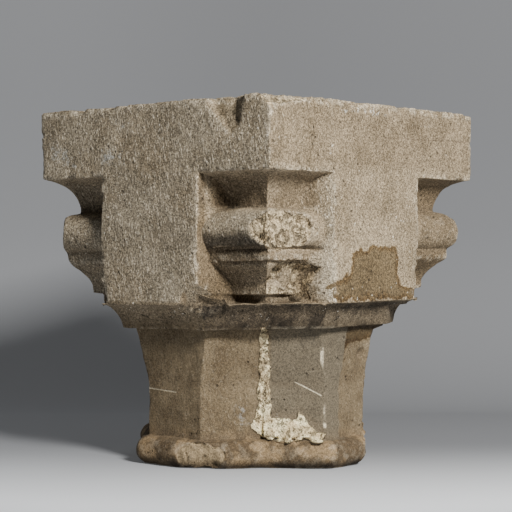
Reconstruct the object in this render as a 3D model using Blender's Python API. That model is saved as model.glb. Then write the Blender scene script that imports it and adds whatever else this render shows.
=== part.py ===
"""A column capital carved from one block of limestone, standing on its underside.

From the top down: a square abacus, a block whose four faces keep a flat panel and whose corners between
the panels are cut back to mouldings, a hollow band with eight sides, a neck with eight sides whose slanting
sides are folded in, and a roll round its foot. Parts of the rolls, the mouldings and the neck have broken
away.

Metres, +Z up. The origin is the middle of the underside. The block's faces look along X and Y.
"""

import math

import bmesh
import bpy
from mathutils import Vector, noise

# The block and its four panels
BLOCK_WIDTH = 0.280
ABACUS_HEIGHT = 0.0615
PANEL_WIDTH = 0.1168
WORN_ARRIS = 0.0018

# The corner mouldings, from the top down; a depth is measured back from the face of the block
UPPER_HOLLOW_HEIGHT = 0.0295
UPPER_HOLLOW_DEPTH = 0.0255
UPPER_HOLLOW_STOP = 0.0132
ROLL_DEPTH = 0.0068
ROLL_RADIUS = 0.0185
FILLET_HEIGHT = 0.0090
FILLET_DEPTH = 0.0160
LOWER_HOLLOW_HEIGHT = 0.0200
LOWER_HOLLOW_SAG = 0.0024
LOWER_HOLLOW_STOP = 0.0102
FOOT_HEIGHT = 0.0082
FOOT_DEPTH = 0.0328
QUIRK_HEIGHT = 0.0072
QUIRK_DEPTH = 0.0400

# The hollow band with eight sides
BAND_HEIGHT = 0.0215
BAND_WIDTH = 0.2420
BAND_HOLLOWNESS = 0.80
LEDGE_FALL = 0.0010

# The neck: its width across two opposite ends, the width of an end, and how far a slanting side is folded in
NECK_HEIGHT = 0.0975
NECK_SPREAD_HEIGHT = 0.0500
NECK_TOP_LENGTH = 0.2250
NECK_TOP_WIDTH = 0.0860
NECK_FOOT_LENGTH = 0.2140
NECK_FOOT_WIDTH = 0.0630
NECK_TOP_FOLD = 0.0030
NECK_FOOT_FOLD = 0.0090
BAND_SOFFIT_RISE = 0.0012

# The roll round the neck's foot
BASE_ROLL_HEIGHT = 0.0238
BASE_ROLL_PROJECTION = 0.0130
BASE_ROLL_CORNER = 0.0100
BASE_ROLL_FLAT = 0.0040

# The beds under the block were cut a little out of level, lower on one side
BED_FALL = 0.0042
BED_FALL_DIRECTION = math.radians(222.0)

# The breaks
CHIP_WIDTH = 0.0400
CHIP_HEIGHT = 0.0360
CHIP_DEPTH = 0.0130
CHIP_FROM_CORNER = 0.0310
CHIP_TIP_FROM_RIGHT = 0.0056
ROLL_BREAK_DEPTH = 0.0077
ROLL_BREAK_LENGTH = 0.0560
ROLL_BREAK_MIDDLE = 0.0258
ROLL_CORNER_BREAK = 0.0210
LEFT_ROLL_WEAR = 0.0080
LEFT_ROLL_WEAR_LENGTH = 0.0700
FOOT_BREAK_LENGTH = 0.0520
FOOT_BREAK_HEIGHT = 0.0300
PANEL_BREAK_SIZE = 0.0180
BAND_CORNER_WEAR = 0.0060
NECK_BREAK_WIDTH = 0.0200
NECK_BREAK_OFFSET = 0.0024
NECK_BREAK_DISH = 0.0060
BASE_BREAK_WIDTH = 0.0600
BASE_BREAK_DEPTH = 0.0200
BASE_BREAK_SETBACK = 0.0124
BASE_HOLLOW_RADIUS = 0.0130
BASE_HOLLOW_FROM_MIDDLE = 0.0110
BASE_LEFT_WEAR = 0.0056
BASE_CORNER_BREAK = 0.0185
BASE_CORNER_BREAK_LENGTH = 0.1850
BREAK_ROUGHNESS = 0.0022

ARC_STEPS = 8
BREAK_CELLS = 7
STONE_COLOUR = (0.30, 0.26, 0.19, 1.0)
STONE_ROUGHNESS = 0.9

HALF = BLOCK_WIDTH / 2
PANEL_HALF = PANEL_WIDTH / 2
PANEL_SHARE = PANEL_WIDTH / BLOCK_WIDTH

# Heights of the beds between the members, from the underside up
ROLL_CENTRE_DEPTH = ROLL_DEPTH + ROLL_RADIUS
ROLL_FOOT_DROP = math.sqrt(ROLL_RADIUS**2 - (ROLL_CENTRE_DEPTH - FILLET_DEPTH) ** 2)
NECK_TOP = BASE_ROLL_HEIGHT + NECK_HEIGHT
BAND_TOP = NECK_TOP + BAND_HEIGHT
QUIRK_TOP = BAND_TOP + QUIRK_HEIGHT
FOOT_TOP = QUIRK_TOP + FOOT_HEIGHT
LOWER_HOLLOW_TOP = FOOT_TOP + LOWER_HOLLOW_HEIGHT
FILLET_TOP = LOWER_HOLLOW_TOP + FILLET_HEIGHT
ROLL_CENTRE = FILLET_TOP + ROLL_FOOT_DROP
ROLL_TOP = ROLL_CENTRE + ROLL_RADIUS
ABACUS_BOTTOM = ROLL_TOP + UPPER_HOLLOW_HEIGHT
BLOCK_TOP = ABACUS_BOTTOM + ABACUS_HEIGHT


def clear_scene():
    """Removes what the file was opened with."""
    for thing in list(bpy.data.objects):
        bpy.data.objects.remove(thing)


def stone_material():
    """Dull grey-brown limestone."""
    stone = bpy.data.materials.new("limestone")
    stone.use_nodes = True
    shader = stone.node_tree.nodes["Principled BSDF"]
    shader.inputs["Base Color"].default_value = STONE_COLOUR
    shader.inputs["Roughness"].default_value = STONE_ROUGHNESS
    shader.inputs["Metallic"].default_value = 0.0
    return stone


def between(a, b, share):
    """The point at a share of the way from a to b."""
    return tuple(p + (q - p) * share for p, q in zip(a, b))


def block_plan(depth, stop):
    """An eighth of the block: half a panel, the panel's return, and the moulding set back to the corner."""
    panel_edge = (HALF, PANEL_HALF)
    moulding_start = (HALF - depth, PANEL_HALF + stop)
    corner = (HALF - depth, HALF - depth)
    return [
        (HALF, 0.0),
        panel_edge,
        between(panel_edge, moulding_start, 0.5),
        moulding_start,
        between(moulding_start, corner, 0.5),
        corner,
    ]


def band_plan(half):
    """An eighth of the eight-sided band: half of a side that lies under a panel, and half of the next one."""
    turn = (half, half * PANEL_SHARE)
    middle = (half + turn[1]) / 2
    return [(half, 0.0), turn] + [between(turn, (middle, middle), i / 4) for i in (1, 2, 3, 4)]


def neck_plan(length, width, fold):
    """An eighth of the neck: half of an end, and a slanting side as far as the fold in its middle."""
    turn = (length / 2, width / 2)
    middle = (length + width) / 4 - fold * math.sqrt(0.5)
    return [(length / 2, 0.0), turn] + [between(turn, (middle, middle), i / 4) for i in (1, 2, 3, 4)]


def roll_plan(out):
    """An eighth of the roll at the foot: the neck's plan grown by out, with its corners worn round."""
    length = NECK_FOOT_LENGTH / 2 + out
    turn = (length, NECK_FOOT_WIDTH / 2 + out * math.tan(math.radians(22.5)))
    middle = (length + turn[1]) / 2 - NECK_FOOT_FOLD * math.sqrt(0.5)
    before = (length, turn[1] - BASE_ROLL_CORNER)
    after = between(turn, (middle, middle), BASE_ROLL_CORNER / (length - middle))
    return [
        (length, 0.0),
        before,
        between(turn, between(before, after, 0.5), 0.5),
        after,
        between(after, (middle, middle), 0.5),
        (middle, middle),
    ]


def whole_plan(eighth):
    """The closed outline whose eighth is given as pairs: how far out from the middle, how far along."""
    quarter = [(along, -out) for out, along in eighth]
    quarter += [(out, -along) for out, along in reversed(eighth[1:-1])]
    outline = []
    for turn in range(4):
        for x, y in quarter:
            for _ in range(turn):
                x, y = -y, x
            outline.append((x, y))
    return outline


def arc(start, end, steps=ARC_STEPS):
    """Angles from start to end in degrees, both included, as radians."""
    return [math.radians(start + (end - start) * i / steps) for i in range(steps + 1)]


def base_roll_beds():
    """The roll at the foot: a half round on a narrow flat, out to its full projection at half its height."""
    beds = []
    middle = BASE_ROLL_HEIGHT / 2
    for angle in arc(-90, 90):
        out = BASE_ROLL_FLAT + (BASE_ROLL_PROJECTION - BASE_ROLL_FLAT) * math.cos(angle)
        beds.append((middle + middle * math.sin(angle), roll_plan(out)))
    return beds


def neck_beds():
    """The neck: upright above the roll, then spreading in a straight line to the band."""
    upright_top = NECK_TOP - NECK_SPREAD_HEIGHT
    foot = neck_plan(NECK_FOOT_LENGTH, NECK_FOOT_WIDTH, NECK_FOOT_FOLD)
    head = neck_plan(NECK_TOP_LENGTH, NECK_TOP_WIDTH, NECK_TOP_FOLD)
    return [(BASE_ROLL_HEIGHT + LEDGE_FALL, foot), (upright_top, foot), (NECK_TOP, head)]


def band_beds():
    """The band: a flat underside and a hollow that runs out to the face of the block."""
    lip = BAND_WIDTH / 2
    beds = [(NECK_TOP - BAND_SOFFIT_RISE, band_plan(lip))]
    for angle in arc(0, 90)[1:]:
        straight = lip + (HALF - lip) * math.sin(angle)
        round_hollow = lip + (HALF - lip) * (1 - math.cos(angle))
        half = straight + (round_hollow - straight) * BAND_HOLLOWNESS
        height = NECK_TOP + (BAND_HEIGHT - LEDGE_FALL) * math.sin(angle)
        beds.append((height, band_plan(half)))
    return beds


def moulding_beds():
    """The corner mouldings from the quirk up: foot, lower hollow, fillet, roll, upper hollow and abacus."""
    edge = WORN_ARRIS
    beds = [
        (BAND_TOP, block_plan(QUIRK_DEPTH, 0.0)),
        (QUIRK_TOP - edge, block_plan(QUIRK_DEPTH, 0.0)),
        (QUIRK_TOP, block_plan(FOOT_DEPTH, 0.0)),
        (FOOT_TOP, block_plan(FOOT_DEPTH, 0.0)),
    ]
    for step in range(1, ARC_STEPS // 2 + 1):
        share = step / (ARC_STEPS // 2)
        sag = LOWER_HOLLOW_SAG * math.sin(math.pi * share)
        depth = FOOT_DEPTH - edge / 2 + (FILLET_DEPTH - FOOT_DEPTH + edge / 2) * share + sag
        stop = LOWER_HOLLOW_STOP * (1 - share)
        beds.append((FOOT_TOP + edge / 2 + (LOWER_HOLLOW_HEIGHT - edge / 2) * share, block_plan(depth, stop)))
    beds.append((FILLET_TOP, block_plan(FILLET_DEPTH, 0.0)))
    start = -math.degrees(math.asin(ROLL_FOOT_DROP / ROLL_RADIUS))
    for angle in arc(start, 90, ARC_STEPS + 3)[1:]:
        depth = ROLL_CENTRE_DEPTH - ROLL_RADIUS * math.cos(angle)
        beds.append((ROLL_CENTRE + ROLL_RADIUS * math.sin(angle), block_plan(depth, 0.0)))
    for angle in arc(0, 90)[1:]:
        depth = UPPER_HOLLOW_DEPTH * math.cos(angle)
        stop = UPPER_HOLLOW_STOP * math.cos(angle) + edge * math.sin(angle)
        beds.append((ROLL_TOP + UPPER_HOLLOW_HEIGHT * math.sin(angle), block_plan(depth, stop)))
    beds.append((BLOCK_TOP - edge, block_plan(0.0, edge)))
    return beds


def bed_height(x, y, height):
    """The height of a bed at a point: those between the foot and the abacus fall to one side."""
    share = min(1.0, max(0.0, (height - BASE_ROLL_HEIGHT) / (NECK_TOP - BASE_ROLL_HEIGHT)))
    if height > FOOT_TOP:
        share = max(0.0, 1.0 - (height - FOOT_TOP) / (ABACUS_BOTTOM - FOOT_TOP))
    along = x * math.cos(BED_FALL_DIRECTION) + y * math.sin(BED_FALL_DIRECTION)
    return height - share * BED_FALL * along / BLOCK_WIDTH


def carved_block():
    """The whole stone before it broke: each bed's outline joined to the next, closed above and below."""
    mesh = bmesh.new()
    top = [(out - WORN_ARRIS, min(along, out - WORN_ARRIS)) for out, along in block_plan(0.0, WORN_ARRIS)]
    beds = base_roll_beds() + neck_beds() + band_beds() + moulding_beds() + [(BLOCK_TOP, top)]
    rings = []
    for height, eighth in beds:
        ring = [mesh.verts.new((x, y, bed_height(x, y, height))) for x, y in whole_plan(eighth)]
        rings.append(ring)
    count = len(rings[0])
    for lower, upper in zip(rings, rings[1:]):
        for i in range(count):
            j = (i + 1) % count
            mesh.faces.new((lower[i], lower[j], upper[j], upper[i]))
    mesh.faces.new(list(reversed(rings[0])))
    mesh.faces.new(rings[-1])
    return mesh


def new_object(name, mesh):
    """Links a finished bmesh to the scene as an object, with its faces pointing out."""
    bmesh.ops.recalc_face_normals(mesh, faces=mesh.faces)
    if mesh.calc_volume(signed=True) < 0:
        bmesh.ops.reverse_faces(mesh, faces=mesh.faces)
    bmesh.ops.triangulate(mesh, faces=mesh.faces)
    data = bpy.data.meshes.new(name)
    mesh.to_mesh(data)
    mesh.free()
    thing = bpy.data.objects.new(name, data)
    bpy.context.scene.collection.objects.link(thing)
    return thing


def uneven(point, seed, roughness):
    """How far a broken surface stands up or down at a point: two scales of smooth noise."""
    place = Vector(point) + Vector((seed * 3.1, seed * 1.7, seed * 5.3))
    return roughness * (noise.noise(place * 55) + 0.45 * noise.noise(place * 140))


def lost_slab(name, at, outward, size, thickness, seed, roughness=BREAK_ROUGHNESS, dish=0.0):
    """What has come away along one face: a slab whose inner side, square to outward at a point, is uneven.
    A dish lets the middle of its height reach deeper than its ends."""
    facing = Vector(outward).normalized()
    turn = facing.to_track_quat("Z", "Y").to_matrix()
    mesh = bmesh.new()
    bmesh.ops.create_grid(mesh, x_segments=BREAK_CELLS, y_segments=BREAK_CELLS, size=0.5)
    inner = list(mesh.verts)
    lifted = bmesh.ops.extrude_face_region(mesh, geom=mesh.faces[:])["geom"]
    outer = {v for v in lifted if isinstance(v, bmesh.types.BMVert)}
    for v in outer:
        v.co.z = thickness
    for v in inner:
        v.co.z = -dish * math.cos(math.pi * v.co.y)
    for v in inner + list(outer):
        v.co = turn @ Vector((v.co.x * size[0], v.co.y * size[1], v.co.z)) + Vector(at)
    for v in inner:
        v.co += facing * uneven(v.co, seed, roughness)
    return new_object(name, mesh)


def lost_lump(name, at, radii, seed, roughness=BREAK_ROUGHNESS):
    """What has come away out of a hollow: a lump like a pebble."""
    mesh = bmesh.new()
    bmesh.ops.create_icosphere(mesh, subdivisions=2, radius=1.0)
    for v in mesh.verts:
        away = v.co.normalized()
        v.co = Vector(at) + Vector(away[i] * radii[i] for i in range(3))
        v.co += away * uneven(v.co, seed, roughness)
    return new_object(name, mesh)


def break_away(stone, cutter):
    """Cuts a lost piece from the stone."""
    cutter.hide_render = True
    cutter.display_type = "WIRE"
    cut = stone.modifiers.new(cutter.name, "BOOLEAN")
    cut.operation = "DIFFERENCE"
    cut.solver = "EXACT"
    cut.object = cutter


def chip_in_abacus():
    """The notch in the top edge of the -Y face: a wedge that is steep towards the front corner."""
    right = HALF - CHIP_FROM_CORNER
    left = right - CHIP_WIDTH
    tip = right - CHIP_TIP_FROM_RIGHT
    out = -HALF - CHIP_DEPTH
    above = BLOCK_TOP + CHIP_DEPTH
    spread = 1 + CHIP_DEPTH / CHIP_HEIGHT
    left_above = tip + (left - tip) * spread
    right_above = tip + (right - tip) * spread
    mesh = bmesh.new()
    corners = [
        (left_above, out, above),
        (right_above, out, above),
        (tip, out, BLOCK_TOP - CHIP_HEIGHT * 1.1),
        (left_above, -HALF, above),
        (right_above, -HALF, above),
        (tip, -HALF, BLOCK_TOP - CHIP_HEIGHT),
        (tip - CHIP_WIDTH * 0.50, CHIP_DEPTH * 0.8 - HALF, above),
        (tip - CHIP_WIDTH * 0.06, CHIP_DEPTH - HALF, above),
        (tip - CHIP_WIDTH * 0.10, CHIP_DEPTH * 0.5 - HALF, BLOCK_TOP - CHIP_HEIGHT * 0.65),
    ]
    for corner in corners:
        mesh.verts.new(corner)
    bmesh.ops.convex_hull(mesh, input=mesh.verts)
    return new_object("lost_chip", mesh)


def roll_breaks():
    """The roll has lost its nose at the front corner, and is worn round at the left corner."""
    nose = HALF - ROLL_DEPTH
    span = ROLL_RADIUS * 2.1
    thickness = ROLL_RADIUS
    face = lost_slab(
        "lost_roll_face",
        at=(nose - ROLL_BREAK_DEPTH, ROLL_BREAK_MIDDLE - nose, ROLL_CENTRE),
        outward=(1.0, -0.12, 0.10),
        size=(ROLL_BREAK_LENGTH, span),
        thickness=thickness,
        seed=1,
    )
    corner = lost_slab(
        "lost_roll_corner",
        at=(nose - ROLL_CORNER_BREAK / 2, ROLL_CORNER_BREAK * 0.25 - nose, ROLL_CENTRE),
        outward=(0.50, -0.86, 0.05),
        size=(ROLL_CORNER_BREAK * 1.6, span),
        thickness=thickness,
        seed=9,
    )
    left = lost_slab(
        "lost_left_roll_nose",
        at=(LEFT_ROLL_WEAR - nose, LEFT_ROLL_WEAR - nose, ROLL_CENTRE),
        outward=(-1.0, -1.0, 0.12),
        size=(LEFT_ROLL_WEAR_LENGTH, span),
        thickness=thickness,
        seed=2,
        roughness=BREAK_ROUGHNESS / 2,
    )
    return [face, corner, left]


def block_breaks():
    """What the foot moulding, the panel and the band have lost."""
    foot = HALF - FOOT_DEPTH
    lip = BAND_WIDTH / 2
    lost_foot = lost_slab(
        "lost_foot",
        at=(foot, FOOT_BREAK_LENGTH / 2 - foot, FOOT_TOP),
        outward=(0.93, 0.0, -0.37),
        size=(FOOT_BREAK_LENGTH, FOOT_BREAK_HEIGHT),
        thickness=FOOT_DEPTH - FILLET_DEPTH,
        seed=3,
        roughness=BREAK_ROUGHNESS * 0.7,
    )
    lost_panel_corner = lost_slab(
        "lost_panel_corner",
        at=(PANEL_HALF, PANEL_BREAK_SIZE * 0.45 - HALF, BAND_TOP + PANEL_BREAK_SIZE * 0.55),
        outward=(0.33, -0.68, -0.66),
        size=(PANEL_BREAK_SIZE * 2.2, PANEL_BREAK_SIZE * 1.7),
        thickness=PANEL_BREAK_SIZE,
        seed=4,
        roughness=BREAK_ROUGHNESS / 2,
    )
    lost_band_corner = lost_slab(
        "lost_band_corner",
        at=(lip - BAND_CORNER_WEAR, lip * PANEL_SHARE, NECK_TOP + BAND_HEIGHT * 0.35),
        outward=(0.88, 0.47, -0.10),
        size=(BAND_HEIGHT * 2.2, BAND_HEIGHT),
        thickness=BAND_CORNER_WEAR * 2,
        seed=10,
        roughness=BREAK_ROUGHNESS / 2,
    )
    return [lost_foot, lost_panel_corner, lost_band_corner]


def foot_breaks():
    """What the neck and the roll round its foot have lost."""
    neck_end = NECK_FOOT_LENGTH / 2
    neck_side = NECK_FOOT_WIDTH / 2
    roll_end = neck_end + BASE_ROLL_PROJECTION
    roll_side = neck_side + BASE_ROLL_PROJECTION
    roll_middle = (neck_end + neck_side) / 2 + BASE_ROLL_PROJECTION * math.sqrt(0.5)
    neck_edge = lost_slab(
        "lost_neck_edge",
        at=(neck_end, neck_side - NECK_BREAK_OFFSET, NECK_TOP * 0.46),
        outward=(0.69, 0.725, -0.05),
        size=(NECK_BREAK_WIDTH * 3, NECK_TOP * 1.03),
        thickness=NECK_BREAK_WIDTH,
        seed=5,
        dish=NECK_BREAK_DISH,
    )
    base_front = lost_slab(
        "lost_base_front",
        at=(roll_side - BASE_BREAK_SETBACK, BASE_BREAK_SETBACK - roll_end, BASE_ROLL_HEIGHT * 0.40),
        outward=(0.62, -0.70, -0.35),
        size=(BASE_BREAK_WIDTH, BASE_ROLL_HEIGHT * 1.5),
        thickness=BASE_BREAK_DEPTH,
        seed=6,
    )
    base_hollow = lost_lump(
        "lost_base_hollow",
        at=(-BASE_HOLLOW_FROM_MIDDLE, BASE_HOLLOW_RADIUS * 0.30 - roll_end, 0.0),
        radii=(BASE_HOLLOW_RADIUS, BASE_HOLLOW_RADIUS, BASE_HOLLOW_RADIUS * 0.95),
        seed=7,
    )
    base_left = lost_slab(
        "lost_base_left",
        at=(-roll_end, 0.0, BASE_ROLL_HEIGHT - BASE_LEFT_WEAR),
        outward=(-0.25, 0.0, 1.0),
        size=(roll_side * 2.2, BASE_ROLL_PROJECTION * 1.8),
        thickness=BASE_ROLL_HEIGHT,
        seed=8,
        roughness=BREAK_ROUGHNESS / 2,
    )
    base_corner = lost_slab(
        "lost_base_corner",
        at=(roll_middle - BASE_CORNER_BREAK, roll_middle - BASE_CORNER_BREAK, BASE_ROLL_HEIGHT * 0.12),
        outward=(0.52, 0.55, -0.66),
        size=(BASE_CORNER_BREAK_LENGTH, BASE_CORNER_BREAK * 4),
        thickness=BASE_CORNER_BREAK * 2,
        seed=11,
        roughness=BREAK_ROUGHNESS / 2,
    )
    return [neck_edge, base_front, base_hollow, base_left, base_corner]


clear_scene()
capital = new_object("capital", carved_block())
capital.data.materials.append(stone_material())
for lost in [chip_in_abacus()] + roll_breaks() + block_breaks() + foot_breaks():
    break_away(capital, lost)
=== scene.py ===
"""The looks of a column capital: one block of limestone, weathered and broken, on a pale floor.

Metres, +Z up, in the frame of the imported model: the origin is the middle of the underside, and the block's
faces look along X and Y. Seen from the camera, the left face is -Y and the right face is +X.
"""

import bpy
import numpy as np
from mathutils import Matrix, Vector


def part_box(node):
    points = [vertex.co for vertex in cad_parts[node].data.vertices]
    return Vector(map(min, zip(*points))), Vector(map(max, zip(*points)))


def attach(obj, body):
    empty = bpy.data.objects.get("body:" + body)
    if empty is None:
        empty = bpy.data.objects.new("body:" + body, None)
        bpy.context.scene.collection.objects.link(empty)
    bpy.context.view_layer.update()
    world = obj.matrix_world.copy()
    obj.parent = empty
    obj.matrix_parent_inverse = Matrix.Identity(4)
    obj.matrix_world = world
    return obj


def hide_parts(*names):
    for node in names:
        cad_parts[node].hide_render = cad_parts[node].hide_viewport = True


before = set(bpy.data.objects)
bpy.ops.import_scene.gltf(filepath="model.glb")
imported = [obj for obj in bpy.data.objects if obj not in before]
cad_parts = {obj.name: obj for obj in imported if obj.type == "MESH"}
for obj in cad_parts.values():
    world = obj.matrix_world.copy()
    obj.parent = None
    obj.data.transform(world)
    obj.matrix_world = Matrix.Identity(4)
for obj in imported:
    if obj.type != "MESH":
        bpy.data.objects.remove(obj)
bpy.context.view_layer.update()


# The stone as it was carved
# One block of limestone: a square abacus, a block with a flat panel on each face and mouldings round its
# corners, a hollow band with eight sides, a neck with eight sides whose slanting sides are folded in, and a
# roll round its foot. The surface is a profile carried round the plan: a row is one bed, a column one place.

low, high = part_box("capital")
BLOCK_TOP = high[2]
HALF = high[0]
PANEL_HALF = 0.0584
WORN_ARRIS = 0.0018

ABACUS_HEIGHT = 0.0615
UPPER_HOLLOW_HEIGHT = 0.0295
UPPER_HOLLOW_DEPTH = 0.0255
UPPER_HOLLOW_STOP = 0.0132
ROLL_DEPTH = 0.0068
ROLL_RADIUS = 0.0185
FILLET_HEIGHT = 0.0090
FILLET_DEPTH = 0.0160
LOWER_HOLLOW_HEIGHT = 0.0200
LOWER_HOLLOW_SAG = 0.0024
LOWER_HOLLOW_STOP = 0.0102
FOOT_HEIGHT = 0.0082
FOOT_DEPTH = 0.0328
QUIRK_HEIGHT = 0.0072
QUIRK_DEPTH = 0.0400
BAND_HEIGHT = 0.0215
BAND_HALF = 0.1210
BAND_HOLLOWNESS = 0.80
LEDGE_FALL = 0.0010
NECK_SPREAD_HEIGHT = 0.0500
NECK_TOP_LENGTH = 0.2250
NECK_TOP_WIDTH = 0.0860
NECK_FOOT_LENGTH = 0.2140
NECK_FOOT_WIDTH = 0.0630
NECK_TOP_FOLD = 0.0030
NECK_FOOT_FOLD = 0.0090
BAND_SOFFIT_RISE = 0.0012
BASE_ROLL_HEIGHT = 0.0238
BASE_ROLL_PROJECTION = 0.0130
BASE_ROLL_FLAT = 0.0040
BED_FALL = 0.0042
BED_FALL_DIRECTION = np.radians(222.0)

# Beds, from the top down
ABACUS_BOTTOM = BLOCK_TOP - ABACUS_HEIGHT
ROLL_TOP = ABACUS_BOTTOM - UPPER_HOLLOW_HEIGHT
ROLL_CENTRE = ROLL_TOP - ROLL_RADIUS
ROLL_CENTRE_DEPTH = ROLL_DEPTH + ROLL_RADIUS
ROLL_FOOT_DROP = np.sqrt(ROLL_RADIUS**2 - (ROLL_CENTRE_DEPTH - FILLET_DEPTH) ** 2)
FILLET_TOP = ROLL_CENTRE - ROLL_FOOT_DROP
LOWER_HOLLOW_TOP = FILLET_TOP - FILLET_HEIGHT
FOOT_TOP = LOWER_HOLLOW_TOP - LOWER_HOLLOW_HEIGHT
QUIRK_TOP = FOOT_TOP - FOOT_HEIGHT
BAND_TOP = QUIRK_TOP - QUIRK_HEIGHT
NECK_TOP = BAND_TOP - BAND_HEIGHT

# Columns in an eighth of the plan: half a panel, the panel's return, the moulding up to the corner. The
# eighths at the broken front corner have most, the hidden ones fewest, counted from the middle of -Y to +X.
FRONT = (31, 9, 58)
SIDE = (20, 6, 38)
HIDDEN = (11, 4, 20)
COLUMNS = (FRONT, FRONT, SIDE, HIDDEN, HIDDEN, HIDDEN, HIDDEN, SIDE)
COLUMNS_EVEN_WITHIN = 0.0220

# The stop at the left end of the +X side's mouldings is splayed more than the others, most about the fillet.
SPLAYED_EIGHTH = 1
SPLAY = 0.0150
SPLAY_HEIGHT = 0.1800
SPLAY_REACH = 0.0260


def rows(height, out, along):
    """Beds as an array: the height, and four places in an eighth of the plan, each how far out and along.
    The places are the middle of the side, its turn, a place past the turn, and the corner."""
    count = len(height)
    spread = [np.broadcast_to(value, count) for value in (height, *out, *along)]
    return np.stack(spread, axis=1)


def block_rows(height, depth, stop):
    """Beds of the block: the panel stands full, the moulding lies back by depth and starts at stop."""
    face = HALF - depth
    return rows(height, (HALF, HALF, face, face), (0.0, PANEL_HALF, PANEL_HALF + stop, face))


def eight_sided_rows(height, end, turn, middle, past):
    """Beds with eight sides: a side under a panel, level as far as its turn, then a slanting side to its
    middle, with one place the share past along it."""
    out = (end, end, end + (middle - end) * past, middle)
    return rows(height, out, (0.0, turn, turn + (middle - turn) * past, middle))


def band_rows(height, half):
    """Beds of the eight-sided band, half being how far its sides under the panels stand out."""
    turn = half * PANEL_HALF / HALF
    return eight_sided_rows(height, half, turn, (half + turn) / 2, past=0.2)


def neck_rows_at(height, length, width, fold):
    """Beds of the neck: an end, and a slanting side that is folded in at its middle."""
    middle = (length + width) / 4 - fold * np.sqrt(0.5)
    return eight_sided_rows(height, length / 2, width / 2, middle, past=0.14)


def base_roll_rows(count):
    """The roll at the foot: a half round on a narrow flat."""
    angle = np.linspace(-np.pi / 2, np.pi / 2, count)
    out = BASE_ROLL_FLAT + (BASE_ROLL_PROJECTION - BASE_ROLL_FLAT) * np.cos(angle)
    height = BASE_ROLL_HEIGHT / 2 * (1 + np.sin(angle))
    width = NECK_FOOT_WIDTH + 2 * out * np.tan(np.pi / 8)
    return neck_rows_at(height, NECK_FOOT_LENGTH + 2 * out, width, NECK_FOOT_FOLD)


def neck_rows(count):
    """The neck: upright above the roll, then spreading in a straight line to the band."""
    height = np.linspace(BASE_ROLL_HEIGHT + LEDGE_FALL, NECK_TOP, count)
    spread = np.clip((height - NECK_TOP + NECK_SPREAD_HEIGHT) / NECK_SPREAD_HEIGHT, 0, 1)
    length = NECK_FOOT_LENGTH + (NECK_TOP_LENGTH - NECK_FOOT_LENGTH) * spread
    width = NECK_FOOT_WIDTH + (NECK_TOP_WIDTH - NECK_FOOT_WIDTH) * spread
    return neck_rows_at(height, length, width, NECK_FOOT_FOLD + (NECK_TOP_FOLD - NECK_FOOT_FOLD) * spread)


def soffit_rows(count):
    """The flat underside of the band, from the neck out to the band's lip."""
    share = np.linspace(0, 1, count + 2)[1:-1, None]
    neck = neck_rows_at(np.array([NECK_TOP]), NECK_TOP_LENGTH, NECK_TOP_WIDTH, NECK_TOP_FOLD)
    lip = band_rows(np.array([NECK_TOP - BAND_SOFFIT_RISE]), BAND_HALF)
    return neck + (lip - neck) * share


def band_face_rows(count):
    """The band's face: between a straight slope and a quarter round hollow, out to the block's face."""
    angle = np.linspace(0, np.pi / 2, count)
    reach = HALF - BAND_HALF
    straight = BAND_HALF + reach * np.sin(angle)
    hollow = BAND_HALF + reach * (1 - np.cos(angle))
    half = straight + (hollow - straight) * BAND_HOLLOWNESS
    lip = NECK_TOP - BAND_SOFFIT_RISE
    return band_rows(lip + (BAND_TOP - LEDGE_FALL - lip) * np.sin(angle), half)


def ledge_rows(count):
    """The ledge on top of the band, from the band's edge back to the quirk under the foot moulding."""
    share = np.linspace(0, 1, count + 2)[1:-1, None]
    edge = band_rows(np.array([BAND_TOP - LEDGE_FALL]), HALF)
    quirk = block_rows(np.array([BAND_TOP]), QUIRK_DEPTH, LOWER_HOLLOW_STOP)
    return edge + (quirk - edge) * share


def foot_rows():
    """The quirk, the square foot moulding over it, and the start of the lower hollow."""
    stop = LOWER_HOLLOW_STOP
    quirk = block_rows(np.linspace(BAND_TOP, QUIRK_TOP - WORN_ARRIS, 3), QUIRK_DEPTH, stop)
    height = np.linspace(QUIRK_TOP - WORN_ARRIS / 2, QUIRK_TOP, 3)
    under = block_rows(height, np.linspace(QUIRK_DEPTH, FOOT_DEPTH, 3), stop)
    face = block_rows(np.linspace(QUIRK_TOP, FOOT_TOP, 5)[1:], FOOT_DEPTH, stop)
    return np.concatenate([quirk, under, face])


def lower_hollow_rows(count):
    """The lower hollow: a slope that sags between the foot moulding and the fillet."""
    share = np.linspace(0, 1, count)[1:]
    sag = LOWER_HOLLOW_SAG * np.sin(np.pi * share)
    depth = FOOT_DEPTH + (FILLET_DEPTH - FOOT_DEPTH) * share + sag
    return block_rows(FOOT_TOP + LOWER_HOLLOW_HEIGHT * share, depth, LOWER_HOLLOW_STOP * (1 - share))


def roll_rows(count):
    """The fillet, then the big roll: an arc from the fillet's face over the nose to the top."""
    fillet = block_rows(np.linspace(LOWER_HOLLOW_TOP, FILLET_TOP, 5)[1:], FILLET_DEPTH, 0.0)
    angle = np.linspace(-np.arcsin(ROLL_FOOT_DROP / ROLL_RADIUS), np.pi / 2, count)[1:]
    depth = ROLL_CENTRE_DEPTH - ROLL_RADIUS * np.cos(angle)
    stop = UPPER_HOLLOW_STOP * depth / UPPER_HOLLOW_DEPTH * np.clip(np.sin(angle) * 2, 0, 1)
    return np.concatenate([fillet, block_rows(ROLL_CENTRE + ROLL_RADIUS * np.sin(angle), depth, stop)])


def upper_hollow_rows(count):
    """The upper hollow: a quarter of an ellipse that runs out under the abacus, its stop fading with it."""
    angle = np.linspace(0, np.pi / 2, count)[1:]
    stop = UPPER_HOLLOW_STOP * np.cos(angle) + WORN_ARRIS * np.sin(angle)
    height = ROLL_TOP + UPPER_HOLLOW_HEIGHT * np.sin(angle)
    return block_rows(height, UPPER_HOLLOW_DEPTH * np.cos(angle), stop)


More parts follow.
